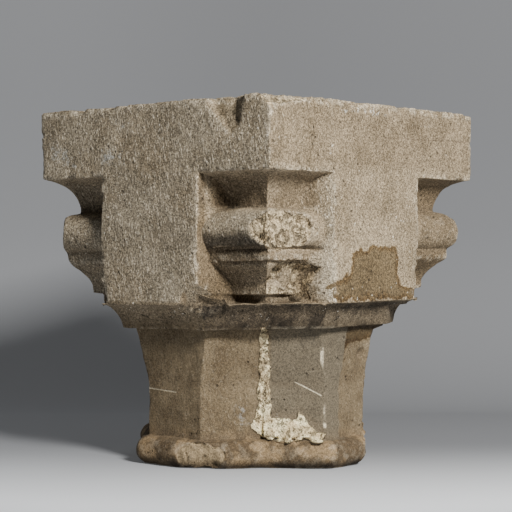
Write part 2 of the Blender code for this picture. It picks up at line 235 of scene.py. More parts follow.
def abacus_rows(count):
    """The abacus: upright faces, on which the columns spread evenly within a short height."""
    height = np.linspace(ABACUS_BOTTOM, BLOCK_TOP, count)[1:]
    even = np.cumsum(FRONT[:2]) / sum(FRONT) * HALF
    share = np.clip((height - ABACUS_BOTTOM) / COLUMNS_EVEN_WITHIN, 0, 1)
    share = share * share * (3 - 2 * share)
    turn = PANEL_HALF + (even[0] - PANEL_HALF) * share
    past = PANEL_HALF + WORN_ARRIS + (even[1] - PANEL_HALF - WORN_ARRIS) * share
    return rows(height, (HALF, HALF, HALF, HALF), (0.0, turn, past, HALF))


def carried_round(beds):
    """The points of every bed: four places joined by straight lines, the eighth mirrored and turned round.
    The places are complex numbers, x + iy, so that a quarter turn is a product with i."""
    height = beds[:, :1]
    out, along = beds[:, 1:5], beds[:, 5:9]
    splay = SPLAY * np.exp(-(((height[:, 0] - SPLAY_HEIGHT) / SPLAY_REACH) ** 2)) * (height[:, 0] > BAND_TOP)
    ring = []
    for eighth in range(8):
        ends = np.cumsum((0,) + COLUMNS[eighth])
        column = np.arange(ends[-1]) if eighth % 2 == 0 else np.arange(ends[-1], 0, -1)
        share = np.array([np.interp(column, ends, weight) for weight in np.eye(4)])
        moved = along.copy()
        moved[:, 2] += splay * np.clip((HALF - out[:, 2]) / FILLET_DEPTH, 0, 1) * (eighth == SPLAYED_EIGHTH)
        o, a = out @ share, moved @ share
        place = a - 1j * o if eighth % 2 == 0 else o - 1j * a
        ring.append(place * 1j ** (eighth // 2))
    flat = np.concatenate(ring, axis=1)
    return np.stack([flat.real, flat.imag, np.broadcast_to(height, flat.shape)], axis=2)


def fallen_beds(points):
    """Lowers the beds between the foot and the abacus on one side, as they were cut."""
    x, y, z = np.moveaxis(points, 2, 0)
    rise = np.clip((z - BASE_ROLL_HEIGHT) / (NECK_TOP - BASE_ROLL_HEIGHT), 0, 1)
    fade = np.clip(1 - (z - FOOT_TOP) / (ABACUS_BOTTOM - FOOT_TOP), 0, 1)
    share = np.where(z > FOOT_TOP, fade, rise)
    along = x * np.cos(BED_FALL_DIRECTION) + y * np.sin(BED_FALL_DIRECTION)
    return np.stack([x, y, z - share * BED_FALL * along / (2 * HALF)], axis=2)


SMALLEST_RING = 0.03


def capped(points, count_below, count_above):
    """Closes the form: rings that shrink evenly from the first and the last bed towards the middle."""
    below = np.linspace(SMALLEST_RING, 1, count_below + 1)[:-1, None, None]
    above = np.linspace(1, SMALLEST_RING, count_above + 1)[1:, None, None]
    flat = np.array([1.0, 1.0, 0.0])
    first, last = points[:1], points[-1:]
    lower = first * (1 - flat) + first * flat * below
    upper = last * (1 - flat) + last * flat * above
    return np.concatenate([lower, points, upper])


BELOW, ABOVE = 8, 15
BASE_ROLL_ROWS = 17
beds = np.concatenate([
    base_roll_rows(BASE_ROLL_ROWS),
    neck_rows(40),
    soffit_rows(8),
    band_face_rows(13),
    ledge_rows(4),
    foot_rows(),
    lower_hollow_rows(12),
    roll_rows(23),
    upper_hollow_rows(19),
    abacus_rows(29),
])
stone = capped(fallen_beds(carried_round(beds)), BELOW, ABOVE)


# The worn surface
# Centuries have rounded every arris and roughened every face. The roughness is smooth noise in layers, from
# a hand's breadth down to a few millimetres; anything finer is in the limestone's own bump.

def softened(points, passes, down=True):
    """Each point moved towards the average of its neighbours in its ring and, if down, in its column."""
    for _ in range(passes):
        beside = (np.roll(points, 1, axis=1) + np.roll(points, -1, axis=1)) / 2
        if down:
            above = np.concatenate([points[1:], points[-1:]])
            below = np.concatenate([points[:1], points[:-1]])
            beside = (beside + (above + below) / 2) / 2
        points = (points + beside) / 2
    return points


def normals_of(points):
    """The outward direction at each point: across the ring times up the column."""
    across = np.roll(points, -1, axis=1) - np.roll(points, 1, axis=1)
    above = np.concatenate([points[1:], points[-1:]])
    below = np.concatenate([points[:1], points[:-1]])
    normal = np.cross(across, above - below)
    return normal / np.maximum(np.linalg.norm(normal, axis=2, keepdims=True), 1e-12)


def lattice(x, y, z, seed):
    """A fixed number from -1 to 1 for each whole place: its numbers multiplied, mixed and cut short."""
    n = (x * 73856093) ^ (y * 19349663) ^ (z * 83492791) ^ (seed * 49979687)
    n = ((n ^ (n >> 15)) * 40503797) & 0x7FFFFFFF
    n = ((n ^ (n >> 13)) * 69069) & 0x7FFFFFFF
    return (n ^ (n >> 16)) / float(0x3FFFFFFF) - 1.0


def noise(points, size, seed):
    """Smooth noise from -1 to 1 with lumps as wide as size: lattice numbers blended across each cell."""
    place = points / size + seed * 17.31
    cell = np.floor(place).astype(np.int64)
    part = place - cell
    part = part * part * (3 - 2 * part)
    total = 0.0
    for dx in (0, 1):
        for dy in (0, 1):
            for dz in (0, 1):
                corner = lattice(cell[..., 0] + dx, cell[..., 1] + dy, cell[..., 2] + dz, seed)
                weight = (
                    (part[..., 0] if dx else 1 - part[..., 0])
                    * (part[..., 1] if dy else 1 - part[..., 1])
                    * (part[..., 2] if dz else 1 - part[..., 2])
                )
                total = total + corner * weight
    return total


def layers(points, size, seed, count=3, fade=0.5):
    """Noise on noise: each layer is half as wide as the one before and fade times as high."""
    return sum(fade**i * noise(points, size / 2**i, seed + i) for i in range(count))


def step(value, start, end):
    """0 up to start, 1 from end, and a smooth rise between them."""
    share = np.clip((value - start) / (end - start), 0, 1)
    return share * share * (3 - 2 * share)


# The plan of the roll at the foot is worn rounder than the rest.
BASE_ROLL_WEAR = 22
roll_end_row = BELOW + BASE_ROLL_ROWS
stone[:roll_end_row] = softened(stone[:roll_end_row], BASE_ROLL_WEAR, down=False)
stone = softened(stone, 1)


# What the stone has lost
# Blows and frost took the nose of the front roll, a bite out of the abacus, the foot moulding under it, a
# corner of one panel, one edge of the neck and much of the roll at the foot. A break is a rough face, and
# what stood beyond it is moved back on to it.

BREAK_ROUGHNESS = 0.0022
BREAK_BEGINS, BREAK_FULL = 0.0002, 0.0015
lost = np.zeros(stone.shape[:2])


def local_axes(outward):
    """A break's own directions: along it level, up it, and out of it."""
    out = np.array(outward, float) / np.linalg.norm(outward)
    level = np.cross((0.0, 0.0, 1.0), out)
    level = level / np.linalg.norm(level)
    return level, np.cross(out, level), out


def break_face(points, lost, at, outward, size, thickness, seed,
               rough=1.0, dish=0.0, blend=0.0025, fresh=1.0):
    """Moves back on to one face what stood beyond it, within size across and up and thickness out. Rough is a
    share of the usual roughness. A dish lets the middle of its height reach deeper. The move fades over blend
    at the ends of the face. Fresh is how bare and crumbling the break still looks, up to one."""
    level, up, out = local_axes(outward)
    offset = points - np.array(at)
    across, upward, beyond = np.abs(offset @ level), offset @ up, offset @ out
    uneven = noise(points, 0.018, seed)
    uneven = uneven + 0.6 * noise(points, 0.0075, seed + 1) + 0.45 * noise(points, 0.0038, seed + 2)
    move = beyond - BREAK_ROUGHNESS * rough * uneven
    move = move + dish * np.cos(np.pi * np.clip(upward / size[1], -0.5, 0.5))
    window = 1 - step(across, size[0] / 2 - blend, size[0] / 2 + blend)
    window = window * (1 - step(np.abs(upward), size[1] / 2 - blend, size[1] / 2 + blend))
    move = np.maximum(move, 0) * np.where(beyond < thickness, window, 0.0)
    return points - move[..., None] * out, np.maximum(lost, fresh * step(move, BREAK_BEGINS, BREAK_FULL))


NOSE = HALF - ROLL_DEPTH
ROLL_BREAK_HEIGHT = 0.0389
FOOT_FACE = HALF - FOOT_DEPTH
NECK_END = NECK_FOOT_LENGTH / 2
NECK_SIDE = NECK_FOOT_WIDTH / 2
ROLL_END = NECK_END + BASE_ROLL_PROJECTION
ROLL_SIDE = NECK_SIDE + BASE_ROLL_PROJECTION
ROLL_MIDDLE = (NECK_END + NECK_SIDE) / 2 + BASE_ROLL_PROJECTION * np.sqrt(0.5)
BREAKS = [
    # the top of the abacus at the front corner
    dict(at=(HALF - 0.0030, 0.0300 - HALF, BLOCK_TOP - 0.0035), outward=(0.60, -0.14, 0.78),
         size=(0.0760, 0.0400), thickness=0.0200, seed=12, rough=0.8, fresh=0.8),
    # the nose of the front roll, on the +X side
    dict(at=(NOSE - 0.0077, 0.0258 - NOSE, ROLL_CENTRE), outward=(1.0, -0.12, 0.10),
         size=(0.0560, ROLL_BREAK_HEIGHT), thickness=ROLL_RADIUS, seed=1, rough=1.8),
    # the roll's front corner
    dict(at=(NOSE - 0.0105, 0.0053 - NOSE, ROLL_CENTRE), outward=(0.50, -0.86, 0.05),
         size=(0.0336, ROLL_BREAK_HEIGHT), thickness=ROLL_RADIUS, seed=9),
    # the worn nose of the left roll
    dict(at=(0.0080 - NOSE, 0.0080 - NOSE, ROLL_CENTRE), outward=(-1.0, -1.0, 0.12),
         size=(0.0700, ROLL_BREAK_HEIGHT), thickness=ROLL_RADIUS, seed=2, rough=0.5, fresh=0.5),
    # the foot moulding and the lower hollow beside the front corner
    dict(at=(FOOT_FACE + 0.002, 0.0210 - FOOT_FACE, FOOT_TOP + 0.005), outward=(0.93, 0.0, -0.37),
         size=(0.0400, 0.0250), thickness=FOOT_DEPTH - FILLET_DEPTH, seed=3, rough=1.4, blend=0.0060),
    # the lower corner of the -Y panel
    dict(at=(PANEL_HALF, 0.0081 - HALF, BAND_TOP + 0.0099), outward=(0.33, -0.68, -0.66),
         size=(0.0396, 0.0306), thickness=0.0180, seed=4, rough=0.25, fresh=0.3),
    # the band's corner on the right
    dict(at=(BAND_HALF - 0.0060, BAND_HALF * PANEL_HALF / HALF, NECK_TOP + 0.0075),
         outward=(0.88, 0.47, -0.10), size=(0.0473, 0.0215), thickness=0.0120, seed=10, rough=0.5, fresh=0.4),
    # the neck's right edge
    dict(at=(NECK_END, NECK_SIDE - 0.0024, NECK_TOP * 0.46), outward=(0.69, 0.725, -0.05),
         size=(0.0800, NECK_TOP * 1.03), thickness=0.0400, seed=5, rough=0.7, dish=0.0060, fresh=0.35),
    # the roll at the foot, along the front
    dict(at=(ROLL_SIDE - 0.0124, 0.0124 - ROLL_END, BASE_ROLL_HEIGHT * 0.40), outward=(0.42, -0.86, -0.28),
         size=(0.0900, BASE_ROLL_HEIGHT * 1.5), thickness=0.0200, seed=6),
    # the roll at the foot, top of the left end
    dict(at=(-ROLL_END, 0.0, BASE_ROLL_HEIGHT - 0.0056), outward=(-0.25, 0.0, 1.0),
         size=(ROLL_SIDE * 2.2, 0.0234), thickness=BASE_ROLL_HEIGHT, seed=8, rough=0.5),
    # the roll at the foot, under the right end
    dict(at=(ROLL_MIDDLE - 0.0185, ROLL_MIDDLE - 0.0185, BASE_ROLL_HEIGHT * 0.12),
         outward=(0.52, 0.55, -0.66), size=(0.1850, 0.0740), thickness=0.0370, seed=11, rough=0.5),
]
for one in BREAKS:
    stone, lost = break_face(stone, lost, **one)


def sunk(points, normal, depth):
    """Each point moved into the stone by its own depth."""
    return points - normal * depth[..., None]


def ridge_at(value, middle, half_width):
    """One at the middle and falling off like a bell on either side."""
    return np.exp(-(((value - middle) / half_width) ** 2))


# Pits in the roll's broken nose, in the lower hollow and the foot, and one in the neck: place, radius, depth
PITS = [
    ((NOSE, -0.108, 0.208), 0.0070, 0.0040),
    ((NOSE, -0.096, 0.203), 0.0055, 0.0035),
    ((NOSE, -0.088, 0.194), 0.0050, 0.0030),
    ((NOSE, -0.082, 0.209), 0.0045, 0.0030),
    ((FOOT_FACE, -0.104, 0.1605), 0.0042, 0.0055),
    ((FOOT_FACE, -0.0965, 0.1620), 0.0030, 0.0045),
    ((FOOT_FACE + 0.004, -0.088, 0.170), 0.0050, 0.0030),
    ((FOOT_FACE + 0.004, -0.070, 0.166), 0.0040, 0.0025),
    ((NECK_TOP_LENGTH / 2 - 0.002, 0.016, 0.095), 0.0050, 0.0070),
]
normal = normals_of(softened(stone, 8))
for place, radius, pit_depth in PITS:
    away = ((stone - np.array(place)) ** 2).sum(axis=2)
    stone = sunk(stone, normal, pit_depth * np.exp(-away / radius**2))

# Two grooves along the bed, under the front roll and under its fillet
GROOVE_DEPTH = 0.0026
x, y, z = np.moveaxis(stone, 2, 0)
below_fillet = ridge_at(z, LOWER_HOLLOW_TOP - 0.0018, 0.0013) * (y < -0.078)
below_roll = ridge_at(z, FILLET_TOP + 0.0006, 0.0012) * (y < -0.066)
groove = np.maximum(below_fillet, below_roll) * (y > -0.130) * (x > 0.066)
stone = sunk(stone, normal, groove * GROOVE_DEPTH)

# The top of the roll at the foot, worn down at its right end
RIGHT_END_WEAR = 16
x, y, z = np.moveaxis(stone, 2, 0)
right_end = ridge_at(z, BASE_ROLL_HEIGHT, 0.0050) * step(x, 0.045, 0.065) * step(y, 0.010, 0.030)
stone = stone + (softened(stone, RIGHT_END_WEAR) - stone) * right_end[..., None]

# Fresh breaks crumble, those on the neck and the roll under it less
CRUMBLE_DEPTH = 0.0028
crumble = np.clip(noise(stone, 0.0085, 71), 0, 1) + 0.8 * np.clip(noise(stone, 0.0042, 73), 0, 1)
crumble = crumble * step(lost, 0.6, 1.0) * np.where(stone[..., 2] < NECK_TOP, 0.5, 1.0)
stone = sunk(stone, normal, crumble * CRUMBLE_DEPTH)

# The bite out of the abacus, on the -Y face near the front corner
CHIP_LEFT, CHIP_TIP = 0.0690, 0.1034
CHIP_HEIGHT, CHIP_DEPTH = 0.0385, 0.0080
CHIP_FRESH = 0.3
NOTCH_REACH = 0.030


def break_notch(points, planes, inward, seed):
    """Moves what stood inside a notch inward until it meets the first of the notch's faces. Each plane is a
    place on it and the direction it faces, out of the stone. Gives the points, and one where they moved."""
    inward = np.array(inward, float) / np.linalg.norm(inward)
    uneven = BREAK_ROUGHNESS * (0.5 * noise(points, 0.012, seed) + 0.4 * noise(points, 0.005, seed + 1))
    travel = np.full(points.shape[:2], NOTCH_REACH)
    for place, facing in planes:
        facing = np.array(facing, float) / np.linalg.norm(facing)
        depth = (points - np.array(place)) @ facing - uneven
        travel = np.minimum(travel, depth / -(facing @ inward))
    travel = np.maximum(travel, 0)
    return points + travel[..., None] * inward, step(travel, BREAK_BEGINS, BREAK_FULL)


chip_foot = (CHIP_TIP, -HALF, BLOCK_TOP - CHIP_HEIGHT)
chip_faces = [
    # the long slope on the left, the steep wall on the right, the back
    (chip_foot, (CHIP_HEIGHT * 0.90, -0.045, CHIP_TIP - CHIP_LEFT)),
    (chip_foot, (-1.0, -1.9, 0.30)),
    (chip_foot, (0.05, -1.0, CHIP_DEPTH / CHIP_HEIGHT)),
]
stone, chip = break_notch(stone, chip_faces, inward=(0.10, 1.0, -0.45), seed=21)
lost = np.maximum(lost, CHIP_FRESH * chip)


# The dressed faces
# The mason's faces are slightly uneven from the tool, every arris is nicked, and the lower corners of the
# panels are knocked round. The underside stays as flat as it was bedded.

NICK_DEPTH = 0.0025
CORNER_DEPTH = 0.0060
CORNER_REACH = 0.0090


def proud(points, normal, passes):
    """How far each point stands out from the softened surface round it, and below nought in a hollow."""
    return ((points - softened(points, passes)) * normal).sum(axis=2)


normal = normals_of(stone)
ridge = proud(stone, normal, 10)
nick = step(layers(stone, 0.013, 31), 0.00, 0.9) + 0.45 * step(noise(stone, 0.005, 35), 0.1, 0.8)
uneven = (
    0.00050 * noise(stone, 0.045, 41)
    + 0.00040 * layers(stone, 0.014, 43)
    + 0.00022 * layers(stone, 0.005, 47, 2)
)
mirrored = np.abs(stone)
from_corner = np.minimum(
    np.linalg.norm(mirrored - (PANEL_HALF, HALF, BAND_TOP), axis=2),
    np.linalg.norm(mirrored - (HALF, PANEL_HALF, BAND_TOP), axis=2),
)
change = uneven - np.clip(ridge, 0, NICK_DEPTH) * nick * 1.1
change = change - np.clip(ridge, 0, CORNER_DEPTH) * ridge_at(from_corner, 0.0, CORNER_REACH) * 0.9
change[:BELOW] = 0.0
stone = stone + normal * change[..., None]


# The mortar
# When the capital was set in a wall, mortar filled one fold of its neck. A gritty strip of it is still stuck
# there, with a wedge on the roll below.

MORTAR_REACH = 0.0012
MORTAR_THICKNESS = 0.0016
MORTAR_ROUGH = 0.0013
WEDGE_TOP = 0.0440
WEDGE_THICKNESS = 0.0065

# On the slanting side between -Y and +X, across is nought at the fold and grows to the right.
MORTAR_OUTLINE = [
    (-0.0022, 0.1210), (0.0030, 0.1210), (0.0058, 0.0950), (0.0064, 0.0420), (0.0290, 0.0425),
    (0.0300, 0.0490), (0.0350, 0.0455), (0.0430, 0.0330), (0.0530, 0.0295), (0.0500, 0.0235),
    (0.0300, 0.0235), (0.0050, 0.0235), (-0.0060, 0.0290), (-0.0095, 0.0350), (-0.0045, 0.0480),
    (-0.0030, 0.0700),
]


def outline_distance(u, v, corners):
    """How far inside a closed outline each place lies, and below nought how far outside."""
    nearest = np.full(u.shape, 1e9)
    inside = np.zeros(u.shape, bool)
    for (u0, v0), (u1, v1) in zip(corners, corners[1:] + corners[:1]):
        du, dv = u1 - u0, v1 - v0
        share = np.clip(((u - u0) * du + (v - v0) * dv) / (du * du + dv * dv), 0, 1)
        nearest = np.minimum(nearest, np.hypot(u - u0 - share * du, v - v0 - share * dv))
        crosses = (v0 > v) != (v1 > v)
        inside ^= crosses & (u < u0 + (v - v0) * du / (dv if dv else 1e-9))
    return np.where(inside, nearest, -nearest)


def patch_on(u, v, corners, reach, wander=0.0):
    """A patch: half way on its outline, moved out by wander, and from nought to one within reach of it."""
    return np.clip(0.5 + (outline_distance(u, v, corners) + wander) / (2 * reach), 0, 1)


x, y, z = np.moveaxis(stone, 2, 0)
across, outward = (x + y) * np.sqrt(0.5), (x - y) * np.sqrt(0.5)
wander = 0.0017 * (noise(stone, 0.010, 63) + 0.8 * noise(stone, 0.004, 64))
mortar = patch_on(across, z, MORTAR_OUTLINE, MORTAR_REACH, wander)
mortar = mortar * (outward > 0.080) * (z < NECK_TOP - 0.0005)
grit = MORTAR_ROUGH * (noise(stone, 0.006, 61) + 0.8 * noise(stone, 0.0033, 62))
wedge = np.clip((WEDGE_TOP - z) / (WEDGE_TOP - BASE_ROLL_HEIGHT), 0, 1) * (across > 0)
thickness = MORTAR_THICKNESS + WEDGE_THICKNESS * wedge + grit
stone = stone + (mortar * thickness)[..., None] * np.array([np.sqrt(0.5), -np.sqrt(0.5), 0.0])


# The limestone
# A warm grey, open-grained stone, browner and smoother on the neck than on the block, with old tide marks
# where water ran down one face. Broken places are paler, with painted shade in their pits. Recesses carry
# painted shade with some dirt, hollows and creases painted shade, and the band, the quirk and the roll's
# underside painted shadow. Arrises are rubbed light.

normal = normals_of(stone)
x, y, z = np.moveaxis(stone, 2, 0)
across = (x + y) * np.sqrt(0.5)
behind_face = HALF - np.maximum(np.abs(x), np.abs(y))
faces_right = normal[..., 0] > 0.5
on_slant = (x - y > 0.120) * (z < NECK_TOP)
on_mouldings = (z > BAND_TOP) * (z < ABACUS_BOTTOM)

# Tide marks on the +X side of block and neck, as y and z, and on the slanting side, as across and z
STAIN_REACH = 0.010
PANEL_STAIN = [
    (-0.086, 0.144), (-0.076, 0.152), (-0.052, 0.163), (-0.038, 0.169), (-0.035, 0.186), (-0.014, 0.188),
    (-0.006, 0.191), (0.010, 0.192), (0.026, 0.190), (0.030, 0.168), (0.033, 0.157), (0.048, 0.153),
    (0.060, 0.144),
]
NECK_STAIN = [
    (-0.040, 0.124), (-0.036, 0.108), (-0.022, 0.106), (-0.016, 0.090), (-0.009, 0.091), (-0.007, 0.106),
    (0.050, 0.110), (0.060, 0.124),
]
SLANT_STAIN = [(0.030, 0.124), (0.033, 0.107), (0.045, 0.102), (0.070, 0.106), (0.070, 0.124)]
stain = np.maximum.reduce([
    patch_on(y, z, PANEL_STAIN, STAIN_REACH) * faces_right * (x > 0.120),
    patch_on(y, z, NECK_STAIN, STAIN_REACH) * faces_right * (z < NECK_TOP),
    patch_on(across, z, SLANT_STAIN, STAIN_REACH) * on_slant,
])

# Painted shade, with some dirt, where overhangs keep the light off: in the mouldings, on the panel's return
# beside them, and at the far right; and a darker tone on the abacus's right face
on_side = step(normal[..., 0], 0.5, 0.9) * (x > 0.100) * (y < 0.0)
on_roll_top = (z > ROLL_CENTRE) * (z < ROLL_TOP + 0.001)
returns = on_mouldings * faces_right * (HALF + y > 0.0015) * (HALF + y < 0.050)
returns = returns * (x > 0.0) * (x < PANEL_HALF + 0.004)
shade_and_dirt = np.maximum.reduce([
    step(behind_face, 0.004, 0.018) * on_mouldings * (1 - on_side) * (1 - 0.85 * on_roll_top),
    0.7 * on_side * (z > LOWER_HOLLOW_TOP) * (z < FILLET_TOP) * (behind_face > 0.010),
    0.45 * on_side * (z > ROLL_TOP) * (z < ABACUS_BOTTOM) * (behind_face > 0.002),
    0.95 * returns,
])
shade_and_dirt = np.maximum.reduce([
    shade_and_dirt * (1 - 0.7 * step(-x, 0.050, 0.060)),
    0.35 * step(z, BLOCK_TOP - 0.060, BLOCK_TOP - 0.050) * step(normal[..., 0], 0.5, 0.9),
    0.75 * step(y, 0.062, 0.075) * on_mouldings * (x > 0.07),
])

# Painted shadow: on the band under the block, more on some of its sides than others, under the front roll and
# in the quirk
painted_shadow = np.where(normal[..., 0] > 0.75, 0.73, np.where(normal[..., 0] > 0.2, 1.0, 0.26))
painted_shadow = painted_shadow * step(z, NECK_TOP - 0.004, NECK_TOP) * (1 - step(z, BAND_TOP - 0.001, BAND_TOP + 0.001))
roll_under = step(-normal[..., 2], -0.10, 0.30) * (normal[..., 1] < -0.3) * (x > 0)
roll_under = roll_under * (z > FILLET_TOP) * (z < ROLL_CENTRE + 0.002)
right_under = step(-normal[..., 2], 0.45, 0.80) * (y < 0) * (x > 0.1)
right_under = right_under * (z > FILLET_TOP - 0.001) * (z < ROLL_CENTRE)
quirk = (z > BAND_TOP) * step(QUIRK_TOP + 0.0005 - z, 0.0, 0.001) * step(behind_face, 0.025, 0.032)
painted_shadow = np.maximum.reduce([
    painted_shadow, roll_under * 0.72, right_under * 0.72, quirk * 0.55, returns * (z > ROLL_TOP) * 0.35,
])

# Old limewash: smears on the right, hazes on the left and on the slanting side
RIGHT_SMEARS = [
    [(-0.052, 0.299), (-0.050, 0.309), (0.008, 0.310), (0.016, 0.301)],
    [(-0.068, 0.266), (-0.066, 0.280), (-0.056, 0.278), (-0.056, 0.266)],
]
LEFT_HAZES = [
    # outline as x and z, reach, strength
    ([(-0.066, 0.258), (-0.060, 0.279), (-0.030, 0.276), (-0.026, 0.260)], 0.012, 1.0),
    ([(-0.136, 0.258), (-0.130, 0.292), (-0.096, 0.284), (-0.086, 0.256)], 0.014, 0.9),
    ([(-0.050, 0.292), (-0.047, 0.304), (-0.016, 0.303), (-0.014, 0.292)], 0.010, 1.0),
]
SLANT_HAZE = [
    (-0.034, 0.036), (-0.030, 0.058), (-0.012, 0.068), (-0.003, 0.052), (-0.003, 0.030), (-0.030, 0.027),
]
lime = np.maximum.reduce([patch_on(y, z, corners, 0.008) for corners in RIGHT_SMEARS]) * faces_right
left_lime = np.maximum.reduce([
    patch_on(x, z, corners, reach) * strength for corners, reach, strength in LEFT_HAZES
])
left_lime = left_lime * (normal[..., 1] < -0.5)
left_lime = np.maximum(left_lime, patch_on(across, z, SLANT_HAZE, 0.014) * on_slant * 0.75)

relief_here = proud(stone, normal, 12) / 0.0010
front_arris = np.exp(-((x - HALF) ** 2 + (y + HALF) ** 2) / 0.0080**2) * (z > ABACUS_BOTTOM - 0.004)
front_arris = 1.6 * front_arris * np.clip(noise(stone, 0.0055, 91) + 0.35, 0, 1)
masks = dict(
    stain=stain, mortar=mortar, broken=lost, chip=chip, lime=lime, left_lime=left_lime,
    ridge=np.clip(np.maximum(relief_here - 0.25, front_arris), 0, 1),
    # Painted shade in concave places, less on the lit +X side
    hollow=np.clip(-relief_here, 0, 1) * (1 - 0.75 * on_side),
    # Painted shade with some dirt in the recesses, and painted shadow under the overhangs
    shade_and_dirt=shade_and_dirt, painted_shadow=painted_shadow,
    bloom=step(-normal[..., 1], 0.4, 0.9) * (z > BAND_TOP),
    right_slant=on_slant * step(across, 0.004, 0.008) * (z > BASE_ROLL_HEIGHT),
)


def write_mesh(name, points):
    """A closed mesh from the rings of points: four-sided faces between rings, and a fan round each pole."""
    count, around = points.shape[:2]
    poles = points[[0, -1]].mean(axis=1)
    places = np.concatenate([points.reshape(-1, 3), poles])
    ring = np.arange(around)
    after = (ring + 1) % around
    start = np.arange(count - 1)[:, None] * around
    quads = np.stack([start + ring, start + after, start + around + after, start + around + ring], axis=2)
    quads = quads.reshape(-1, 4)
    below, above = count * around, count * around + 1
    last = (count - 1) * around
    fan_below = np.stack([np.full(around, below), after, ring], axis=1)
    fan_above = np.stack([np.full(around, above), last + ring, last + after], axis=1)
    mesh = bpy.data.meshes.new(name)
    mesh.from_pydata(places.tolist(), [], quads.tolist() + fan_below.tolist() + fan_above.tolist())
    mesh.update()
    mesh.shade_smooth()
    mesh.set_sharp_from_angle(angle=np.radians(38))
    return mesh


def write_mask(mesh, name, mask):
    """Stores a number for every point of the rings, and the first and last ring's for the poles."""
    values = np.concatenate([mask.reshape(-1), mask[[0, -1]].mean(axis=1)])
    mesh.attributes.new(name, "FLOAT", "POINT").data.foreach_set("value", values.astype(np.float32))


capital = bpy.data.objects.new("capital_stone", write_mesh("capital_stone", stone))
bpy.context.scene.collection.objects.link(capital)
for name, mask in masks.items():
    write_mask(capital.data, name, mask)


class Finish:
    """Short words for the nodes of one material."""

    def __init__(self, name):
        self.material = bpy.data.materials.new(name)
        self.material.use_nodes = True
        self.tree = self.material.node_tree
        self.shader = self.tree.nodes["Principled BSDF"]
        self.place = self.tree.nodes.new("ShaderNodeTexCoord").outputs["Object"]

    def put(self, node, socket, value):
        """Sets a socket to a value, or links it to another node's output."""
        if isinstance(value, bpy.types.NodeSocket):
            self.tree.links.new(value, node.inputs[socket])
        else:
            node.inputs[socket].default_value = value

    def math(self, operation, a, b=0.0, c=0.0, clamp=False):
        """Arithmetic on numbers."""
        node = self.tree.nodes.new("ShaderNodeMath")
        node.operation = operation
        node.use_clamp = clamp
        for i, value in enumerate((a, b, c)):
            self.put(node, i, value)
        return node.outputs[0]

    def times(self, a, b, clamp=False):
        """Two numbers multiplied."""
        return self.math("MULTIPLY", a, b, clamp=clamp)

    def most(self, a, b):
        """The greater of two numbers."""
        return self.math("MAXIMUM", a, b)

    def plus(self, a, b, share):
        """A number and a share of another."""
        return self.math("MULTIPLY_ADD", b, share, a)

    def frayed(self, value, noise, amount):
        """A number with noise on it, up to half the amount either way."""
        return self.math("ADD", value, self.times(self.math("SUBTRACT", noise, 0.5), amount))

    def vector(self, operation, *values):
        """Arithmetic on places: the node itself, whose output is its Vector or its Value."""
        node = self.tree.nodes.new("ShaderNodeVectorMath")
        node.operation = operation
        for i, value in enumerate(values):
            self.put(node, i, value)
        return node

    def height(self):
        """The height above the floor."""
        split = self.tree.nodes.new("ShaderNodeSeparateXYZ")
        self.put(split, 0, self.place)
        return split.outputs[2]

    def stretched(self, x, y, z, lean=0.0):
        """The object's coordinates times x, y and z, with x and y leaning with the height."""
        split = self.tree.nodes.new("ShaderNodeSeparateXYZ")
        self.put(split, 0, self.place)
        join = self.tree.nodes.new("ShaderNodeCombineXYZ")
        leaning = self.times(split.outputs[2], lean)
        self.put(join, 0, self.times(self.math("ADD", split.outputs[0], leaning), x))
        self.put(join, 1, self.times(self.math("ADD", split.outputs[1], leaning), y))
        self.put(join, 2, self.times(split.outputs[2], z))
        return join.outputs[0]

    def noise(self, size, detail=3.0, roughness=0.55, place=None):
        """Cloudy noise, about half on average, whose lumps are as wide as size in the place's own units."""
        node = self.tree.nodes.new("ShaderNodeTexNoise")
        self.put(node, "Vector", place or self.place)
        self.put(node, "Scale", 1.0 / size)
        self.put(node, "Detail", detail)
        self.put(node, "Roughness", roughness)
        return node.outputs["Fac"]

    def cells(self, size):
        """The distance from the middle of the nearest of many scattered cells, in cell widths."""
        node = self.tree.nodes.new("ShaderNodeTexVoronoi")
        self.put(node, "Vector", self.place)
        self.put(node, "Scale", 1.0 / size)
        return node.outputs["Distance"]

    def rise(self, value, start, end, low=0.0, high=1.0):
        """Smoothly from low at start to high at end, and level outside them."""
        node = self.tree.nodes.new("ShaderNodeMapRange")
        node.interpolation_type = "SMOOTHSTEP"
        for socket, number in zip(range(5), (value, start, end, low, high)):
            self.put(node, socket, number)
        return node.outputs[0]

    def mask(self, name):
        """A number that the mesh carries."""
        node = self.tree.nodes.new("ShaderNodeAttribute")
        node.attribute_name = name
        return node.outputs["Fac"]

    def mix(self, share, a, b, how="MIX"):
        """Two colours mixed."""
        node = self.tree.nodes.new("ShaderNodeMix")
        node.data_type = "RGBA"
        node.blend_type = how
        self.put(node, "Factor", share)
        for socket, colour in ((6, a), (7, b)):
            self.put(node, socket, colour if isinstance(colour, bpy.types.NodeSocket) else (*colour, 1.0))
        return node.outputs[2]

    def tint(self, share, colour, tint):
        """A colour multiplied by a tint, by a share."""
        return self.mix(share, colour, self.mix(1.0, colour, tint, "MULTIPLY"))

    def shaded(self, colour, value):
        """A colour multiplied by a number."""
        join = self.tree.nodes.new("ShaderNodeCombineColor")
        for i in range(3):
            self.put(join, i, value)
        return self.mix(1.0, colour, join.outputs[0], "MULTIPLY")

    def line(self, start, end, half_width):
        """One on the straight line between two places, and nought beyond half_width of it."""
        start, end = np.array(start), np.array(end)
        along = end - start
        offset = self.vector("SUBTRACT", self.place, tuple(start)).outputs[0]
        dot = self.vector("DOT_PRODUCT", offset, tuple(along / (along @ along))).outputs["Value"]
        foot = self.vector("SCALE", tuple(along))
        self.put(foot, "Scale", self.math("ADD", dot, 0.0, clamp=True))
        away = self.vector("DISTANCE", offset, foot.outputs[0]).outputs["Value"]
        return self.rise(away, half_width * 0.4, half_width, 1.0, 0.0)


